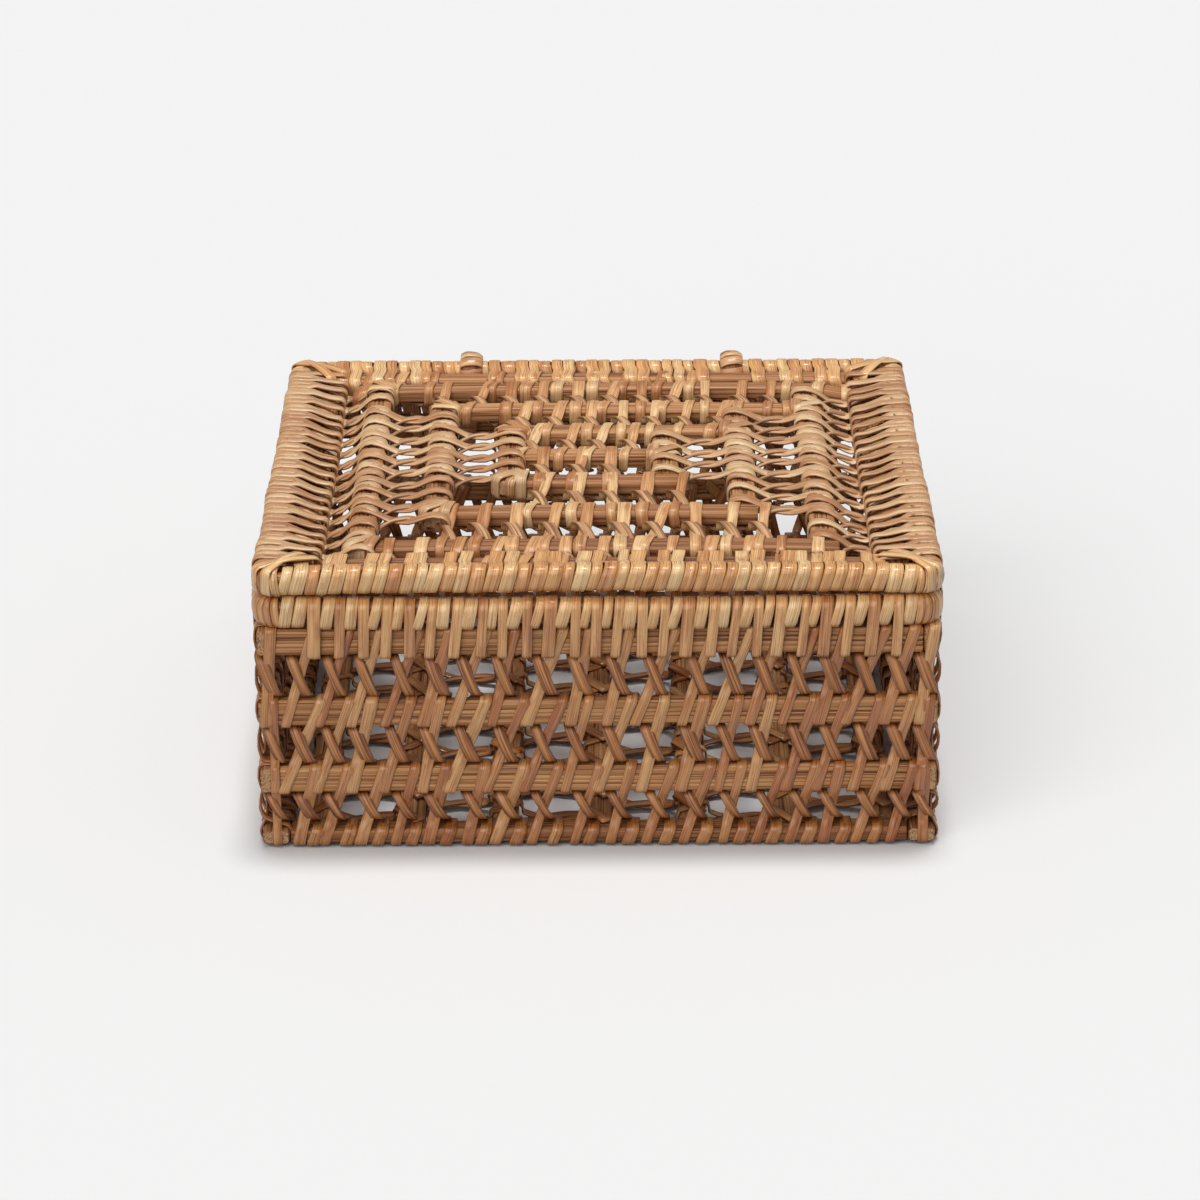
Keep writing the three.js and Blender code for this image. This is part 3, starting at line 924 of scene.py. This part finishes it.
# Lid lacing: strip that ties each turn of the coil to the one outside it and the first turn to the rails.
# Wraps fan out at the corners of the coil, and single wraps cover the bar ends that no row reaches.
lid_pitch = 9.4
lid_margin = 3.0
row_shift = 3.1
lid_manner = Manner(lean=0.14, sink=2.3, hump=0.2, fold=1.6, knot=-0.7, foot=0.0, width=1.05, spread=-0.15)
side_manner = Manner(lean=0.2, sink=2.2, hump=1.0, fold=2.0, knot=-0.8, foot=0.0, width=1.4, spread=-0.35)
corner_room = 6.0
bare_room = 5.4
bare_step = 1.0
bare_slants = (-0.5, 0.9)
bare_widths = (0.92, 1.1)
tie_angles = (14, 37, 60, 83)
tie_play = 5
tie_slant = 0.3
tie_widths = (1.0, 1.2)
next_side = {"rear": "left", "left": "front", "right": "rear"}
lid_dullness = 0.5
# Painted light: the lid's cane and the inner side of its strips are paler copies of the lacing cane's
# colours, as the lid faces up to the lamp.
lit_inner_colours = (seen(146, 92, 54), seen(206, 150, 100), seen(236, 190, 138))
lit_lid_cane = strip_material("lit_lid_cane", seen(188, 119, 64), seen(232, 177, 118), seen(248, 209, 152),
                          lid_dullness, lit_inner_colours)
# Painted sheen: the lacing and rims on the lid's left and right use a paler, less saturated copy of the cane.
sheen_side_cane = strip_material("sheen_side_cane", seen(188, 127, 79), seen(224, 177, 127), seen(242, 208, 160),
                           lid_dullness, lit_inner_colours)


def lid_space(side):
    """From a lid panel, whose face is on top and whose bars step inwards, to the box."""
    return lambda along, face, across: in_space(side, along, -across, face)


def lid_bar(node, side):
    """A lid bar as the lid lacing meets it."""
    _, (inner, outer), (base, top) = reach(node, side)
    return Bar(-outer, -inner, top, base)


def tie_space(first_side, second_side, first_out, second_out, angle):
    """From a tie at a corner of the coil to the box. Its way out turns from the first side to the second."""
    first_way, second_way = (np.array(side_ways[side][1], float) for side in (first_side, second_side))
    origin = box_middle + first_way * first_out + second_way * second_out
    out_way = first_way * np.cos(angle) + second_way * np.sin(angle)
    along_way = first_way * np.sin(angle) - second_way * np.cos(angle)

    def place(along, face, across):
        flat = np.multiply.outer(along, along_way) - np.multiply.outer(across, out_way)
        return origin + flat + np.multiply.outer(face, (0, 0, 1))
    return place


def tie_bodies(first_side, second_side, first_bar, second_bar, rng):
    """Wraps over a corner of the coil, fanned out from its inner corner."""
    bodies = []
    outs = [reach(node, side)[1] for node, side in ((first_bar, first_side), (second_bar, second_side))]
    back, face = reach(first_bar, first_side)[2]
    inner_outs = [inner for inner, _ in outs]
    for number, degrees in enumerate(tie_angles):
        angle = np.radians(degrees + rng.uniform(-tie_play, tie_play))
        shares = np.cos(angle), np.sin(angle)
        leaves = min((outer - inner) / share for (inner, outer), share in zip(outs, shares))
        bar = Bar(-leaves, 0, face + number % 2 * strip_layer, back - number % 2 * strip_layer)
        to_space = tie_space(first_side, second_side, *inner_outs, angle)
        corners = wrap_corners(bar, 0.0, rng.uniform(-tie_slant, tie_slant), lid_manner.hump)
        width = strip_width * rng.uniform(*tie_widths)
        bodies.append(strip_body(corners, to_space, rng, width, rng.uniform(0, 1), True))
    return bodies


for side in side_ways:
    rng = np.random.default_rng(list(f"lid {side}".encode()))
    rungs = [f"lid_rail_{side}", *coil_turns[side]]
    if side == "rear":
        rungs.append(coil_turns["front"][-1])
    manner = side_manner if side in through_sides else lid_manner
    bodies = []
    taken = {node: [] for node in rungs}
    row_start = 0.0
    for row, (outside, inside) in enumerate(zip(rungs, rungs[1:])):
        spans = [reach(node, side)[0] for node in (outside, inside)]
        start, stop = max(span[0] for span in spans), min(span[1] for span in spans)
        hinges = loops_at(side, hinge_room, row == 0)
        lower, upper = lid_bar(outside, side), lid_bar(inside, side)
        start = max(start - corner_room, spans[0][0])
        stop = min(stop + corner_room, spans[0][1])
        half_step = manner.lean * (upper.high + upper.low - lower.high - lower.low) / 4
        row_start += half_step
        first = start + lid_margin + (row_start - start - lid_margin) % lid_pitch
        places = np.arange(first, stop - lid_margin, lid_pitch)
        bodies += lace_row(lower, upper, places, lid_pitch, manner, lid_space(side), rng, hinges)
        row_start += half_step + row_shift
        taken[inside] += list(places + half_step)
        taken[outside] += list(places - half_step)
    for node in coil_turns[side]:
        start, stop = reach(node, side)[0]
        for spot in np.arange(start + strip_width / 2, stop - strip_width / 2, bare_step):
            if all(abs(spot - place) > bare_room for place in taken[node]):
                taken[node].append(spot)
                corners = wrap_corners(lid_bar(node, side), spot, rng.uniform(*bare_slants), manner.hump)
                width = manner.width * strip_width * rng.uniform(*bare_widths)
                bodies.append(strip_body(corners, lid_space(side), rng, width, rng.uniform(0, 1), True))
    if side in next_side:
        second = next_side[side]
        later = coil_turns["rear"][1:] if side == "right" else coil_turns[second]
        for first_bar, second_bar in zip(coil_turns[side], later):
            bodies += tie_bodies(side, second, first_bar, second_bar, rng)
    cane = sheen_side_cane if side in through_sides else lit_lid_cane
    build_piece(f"lid_lacing_{side}_strip", bulged(bodies), cane, "lid", "strip", f"lid_lacing_{side}")

# Lid rim: a bound rod that rests on the box's rim. Its long turns go in over the rails and hold them. On the
# left and right all turns are long, and they draw together in pairs at their inner ends.
pair_pull = 1.3
pair_lift = 0.45
pair_leans = {"left": 1.5, "right": -1.5}
raised_turn = {"left": 1, "right": 0}
pair_play = 0.25
rail_slant = 1.2
rail_play = 0.3
rail_dip = 0.4
pair_dip = 0.25
inner_share = 0.8
narrow_reach = 4
rail_edge_bend = 1.8
rail_top_bend = 2.5
rim_top_bend = 2.0
rail_top_place = 3.0
rail_top_pull = 0.8
rail_end_place = 0.5
rail_end_pull = 0.4
rim_dip_place = 0.2
rim_top_place = 2.4
lid_long_turns = (2, 3)
pair_long_turns = (1, 1)
lid_rim = RimManner(pitch=3.6, slant=0.95, droop=0.0, bow=-0.6, rise=0.7,
                    short_tones=(0.15, 1.0), long_tones=(0.2, 1.0))
paired_rim = lid_rim._replace(pitch=3.5, slant=0.65, long_tones=(0.0, 0.75))
corner_ties = (30, 60)
corner_tie_play = 6
corner_tie_slant = 0.4
corner_tie_hump = 1.0
corner_tie_reach = 1.25
for side in side_ways:
    rng = np.random.default_rng(list(f"lid rim {side}".encode()))
    _, (rail_inner, rail_outer), (rail_base, rail_top) = reach(f"lid_rail_{side}", side)
    paired = side in through_sides
    manner = paired_rim if paired else lid_rim

    def round_rail(centre, near, far, low, high, lift, number, rng):
        """A long wrap: down the outside of the rim, in under the rail, up its inner edge and back on top."""
        pull = manner.slant + rng.uniform(-rail_slant, rail_slant) / 2
        ply = strip_ply + rng.uniform(0, rail_play)
        dip = rail_dip
        if paired:
            ply += strip_thickness
            dip = pair_dip
            lift += rng.uniform(0, pair_play)
            pull += pair_leans[side] + (pair_pull if number % 2 == 0 else -pair_pull)
            ply += pair_lift * (number % 2 == raised_turn[side])
        return [(centre + manner.slant, far + lift, high + lift, rim_round),
                (centre - manner.slant, far + lift, low - lift, rim_round),
                (centre - manner.slant, rail_inner - strip_layer, rail_base - strip_layer, under_bend),
                (centre + pull, rail_inner - ply, rail_top + ply, rail_edge_bend),
                (centre + rail_top_pull * pull, rail_inner + rail_top_place, rail_top + ply, rail_top_bend),
                (centre + rail_end_pull * pull, rail_outer + rail_end_place, rail_top + ply, rim_top_bend),
                (centre + manner.slant, near + rim_dip_place, high + lift - dip, rim_top_bend),
                (centre + manner.slant, near + rim_top_place, high + lift, rim_top_bend)]

    hinges = loops_at(side, rim_hinge_room)
    narrowing = ((rail_inner, rail_outer + narrow_reach), (inner_share, 1.0)) if paired else None
    long_turns = pair_long_turns if paired else lid_long_turns
    cane = sheen_side_cane if paired else lit_rim_cane
    bodies = rim_binding(side, f"lid_rim_{side}", manner, round_rail, long_turns, rng, hinges, narrowing)
    if not paired:
        _, (rim_inner, rim_outer), _ = reach(f"lid_rim_{side}", side)
        pivot = rim_outer - rim_bend - (rim_outer - rim_inner) / 2
        reach_out = rim_outer - pivot - strip_thickness
        reach_in = (rail_inner - pivot) * corner_tie_reach
        bar = Bar(-reach_out, -reach_in, rail_top + 2 * strip_layer, rail_base - strip_layer)
        for neighbour in through_sides if side == "front" else through_sides[::-1]:
            for degrees in corner_ties:
                slant = rng.uniform(-corner_tie_slant, corner_tie_slant)
                corners = wrap_corners(bar, 0.0, slant, corner_tie_hump)
                angle = np.radians(degrees + rng.uniform(-corner_tie_play, corner_tie_play))
                to_space = tie_space(side, neighbour, pivot, pivot, angle)
                bodies.append(strip_body(corners, to_space, rng, strip_width, rng.uniform(0, 1), True))
    build_piece(f"lid_rim_{side}_binding", bulged(bodies), cane, "lid", "rim", f"lid_rim_{side}")

# Hinge loops: two rings of cane core, bound with strip, that hold the lid's rear rim to the rear wall. The
# real loops are soft and bend as the lid opens; here each is built once, at rest, and set on neither body.
loop_thickness = 2.1
loop_bend = 4.2
loop_wrap_pitch = 3.0
loop_wrap_cover = 1.04
loop_wrap_slopes = (0.1, 0.5)
loop_wrap_round = 1.6
loop_wrap_fold = 1.0
loop_crown = 0.5
crown_reach = 0.55
crown_slope = 0.6
foot_reach = 0.75
heading_step = 0.5
core_layer = 5.0
loop_tilts = {"left": 0.1, "right": -0.02}
loop_dullness = 0.42
loop_cane = strip_material("loop_cane", seen(186, 114, 66), seen(220, 162, 108), seen(242, 202, 150),
                           loop_dullness)
_, (wall_inner, _), (top_bar_base, _) = reach("wall_rear_top_bar", "rear")
_, (rim_inner, rim_outer), (lid_rim_base, lid_rim_top) = reach("lid_rim_rear", "rear")
half_ply = loop_thickness / 2
back = rim_outer + half_ply
top = lid_rim_top + half_ply
base = top_bar_base - strip_layer - half_ply
front = rim_inner - half_ply
wall_side = wall_inner - strip_layer - half_ply
for hand, tilt in loop_tilts.items():
    node = f"hinge_loop_{hand}"
    rng = np.random.default_rng(list(node.encode()))
    start, stop = reach(node, "rear")[0]
    route = round_line([(0, back, base, loop_bend), (0, back, top, loop_bend), (0, front, top, loop_bend),
                        (0, front, lid_rim_base, loop_bend), (0, wall_side, base, loop_bend)], True)
    ring = np.concatenate((route, route[:1]))
    travelled = np.concatenate(([0], np.cumsum(np.linalg.norm(np.diff(ring, axis=0), axis=1))))
    half_width, half_thick = (stop - start) / 2 - strip_thickness, half_ply - strip_thickness
    middle = loop_places[hand]

    def loop_space(spot, heading):
        """From a wrap of the loop's binding to the box."""
        def place(ahead, layer, across):
            out = spot[1] + ahead * heading[1] + layer * heading[2]
            up = spot[2] + ahead * heading[2] - layer * heading[1]
            return in_space("rear", middle + across - tilt * (up - lid_rim_base), out, up + tilt * across)
        return place

    bodies = []
    count = round(travelled[-1] / loop_wrap_pitch)
    headings = np.roll(route, -1, 0) - np.roll(route, 1, 0)
    headings /= np.linalg.norm(headings, axis=1, keepdims=True)
    for number in range(count):
        mark = (number + 0.5) * travelled[-1] / count
        spot, ahead, behind = (np.array([np.interp(place, travelled, ring[:, axis]) for axis in range(3)])
                               for place in (mark, mark + heading_step, mark - heading_step))
        heading = (ahead - behind) / np.linalg.norm(ahead - behind)
        slope = rng.uniform(*loop_wrap_slopes)
        crown = half_thick + loop_crown
        loop = [(slope, 0.0, half_width, loop_wrap_round),
                (crown_slope * slope, crown, crown_reach * half_width, loop_wrap_round),
                (-crown_slope * slope, crown, -crown_reach * half_width, loop_wrap_round),
                (-slope, 0.0, -half_width, loop_wrap_round),
                (-slope, -half_thick, -foot_reach * half_width, loop_wrap_fold),
                (slope, -half_thick, foot_reach * half_width, loop_wrap_fold)]
        width = loop_wrap_pitch * loop_wrap_cover
        bodies.append(strip_body(loop, loop_space(spot, heading), rng, width, rng.uniform(0, 1), True))
    angles = np.linspace(0, 2 * np.pi, rod_sides, endpoint=False)
    level = np.zeros(rod_sides)
    layer, across = half_thick * np.cos(angles), half_width * np.sin(angles)
    rings = np.array([loop_space(spot, heading)(level, layer, across)
                      for spot, heading in zip(route, headings)])
    grain = np.stack(np.broadcast_arrays(travelled[:-1, None], angles, core_layer), axis=-1)
    finish = np.zeros_like(grain)
    bodies.append(as_body(rings, [skin(rings, True)], grain, finish))
    piece = build_piece(f"{node}_binding", bodies, loop_cane, None, "loop", node)
    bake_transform(piece)

# Floor: a wide pale studio table that the box stands on. It is matt, shows the same pale grey all over and
# keeps the box's soft shadow. It throws back less light than it shows, so it lights the box only a little.
# It reaches 8 m each way, so that no edge of it comes into view.
floor_half = 8.0
floor_seen = seen(235, 235, 235)
floor_bounce = seen(138, 138, 138)
floor_roughness = 0.9
table_finish, tree, surface = new_material("studio_table")
path_kind = tree.nodes.new("ShaderNodeLightPath")
mirrored = reckon(tree, "MAXIMUM", path_kind.outputs["Is Glossy Ray"],
                  path_kind.outputs["Is Transmission Ray"])
shown = reckon(tree, "MAXIMUM", path_kind.outputs["Is Camera Ray"], mirrored)
tree.links.new(mixed(tree, shown, floor_bounce, floor_seen), surface.inputs["Base Color"])
surface.inputs["Roughness"].default_value = floor_roughness
surface.inputs["Specular IOR Level"].default_value = 0.0
table_mesh = bpy.data.meshes.new("studio_table")
table_mesh.from_pydata([(-floor_half, -floor_half, 0), (floor_half, -floor_half, 0),
                        (floor_half, floor_half, 0), (-floor_half, floor_half, 0)], [], [(0, 1, 2, 3)])
table_mesh.materials.append(table_finish)
table = bpy.data.objects.new("studio_table", table_mesh)
bpy.context.scene.collection.objects.link(table)

# Light: a soft lamp overhead and a little behind, which throws a short shadow forward, a wider and weaker
# one in front to the left, and an even glow all round.
Lamp = namedtuple("Lamp", "name strength width way")
glow_strength = 0.24
lamps = (
    Lamp("top_lamp", strength=1.73, width=math.radians(13), way=Vector((0.03, 0.11, 1.0))),
    Lamp("front_lamp", strength=1.47, width=math.radians(60), way=Vector((-0.3, -0.8, 0.7))),
)
world = bpy.data.worlds.new("studio_glow")
bpy.context.scene.world = world
world.use_nodes = True
glow = world.node_tree.nodes["Background"]
glow.inputs["Color"].default_value = (1.0, 1.0, 1.0, 1.0)
glow.inputs["Strength"].default_value = glow_strength
for lamp in lamps:
    lamp_data = bpy.data.lights.new(lamp.name, "SUN")
    lamp_data.energy = lamp.strength
    lamp_data.angle = lamp.width
    lamp_object = bpy.data.objects.new(lamp.name, lamp_data)
    bpy.context.scene.collection.objects.link(lamp_object)
    lamp_object.rotation_euler = lamp.way.to_track_quat("Z", "Y").to_euler()
bpy.context.scene.view_settings.view_transform = "Standard"

# Camera: a long lens straight in front of the box, about 1.3 m away. It looks down on the lid and is held
# very slightly askew.
film_width = 36
view_end = 50.0
view_target = Vector((0.6, box_middle[1], 35.9)) * MM
view_height = math.radians(20.9)
view_distance = 1.292
view_lens = 138.55
view_roll = math.radians(-0.29)
camera_data = bpy.data.cameras.new("camera")
camera_data.lens = view_lens
camera_data.sensor_width = film_width
camera_data.clip_end = view_end
camera = bpy.data.objects.new("camera", camera_data)
bpy.context.scene.collection.objects.link(camera)
back_way = Vector((0, -math.cos(view_height), math.sin(view_height)))
camera.location = view_target + back_way * view_distance
camera.rotation_euler = (back_way.to_track_quat("Z", "Y") @ Quaternion((0, 0, 1), view_roll)).to_euler()
bpy.context.scene.camera = camera
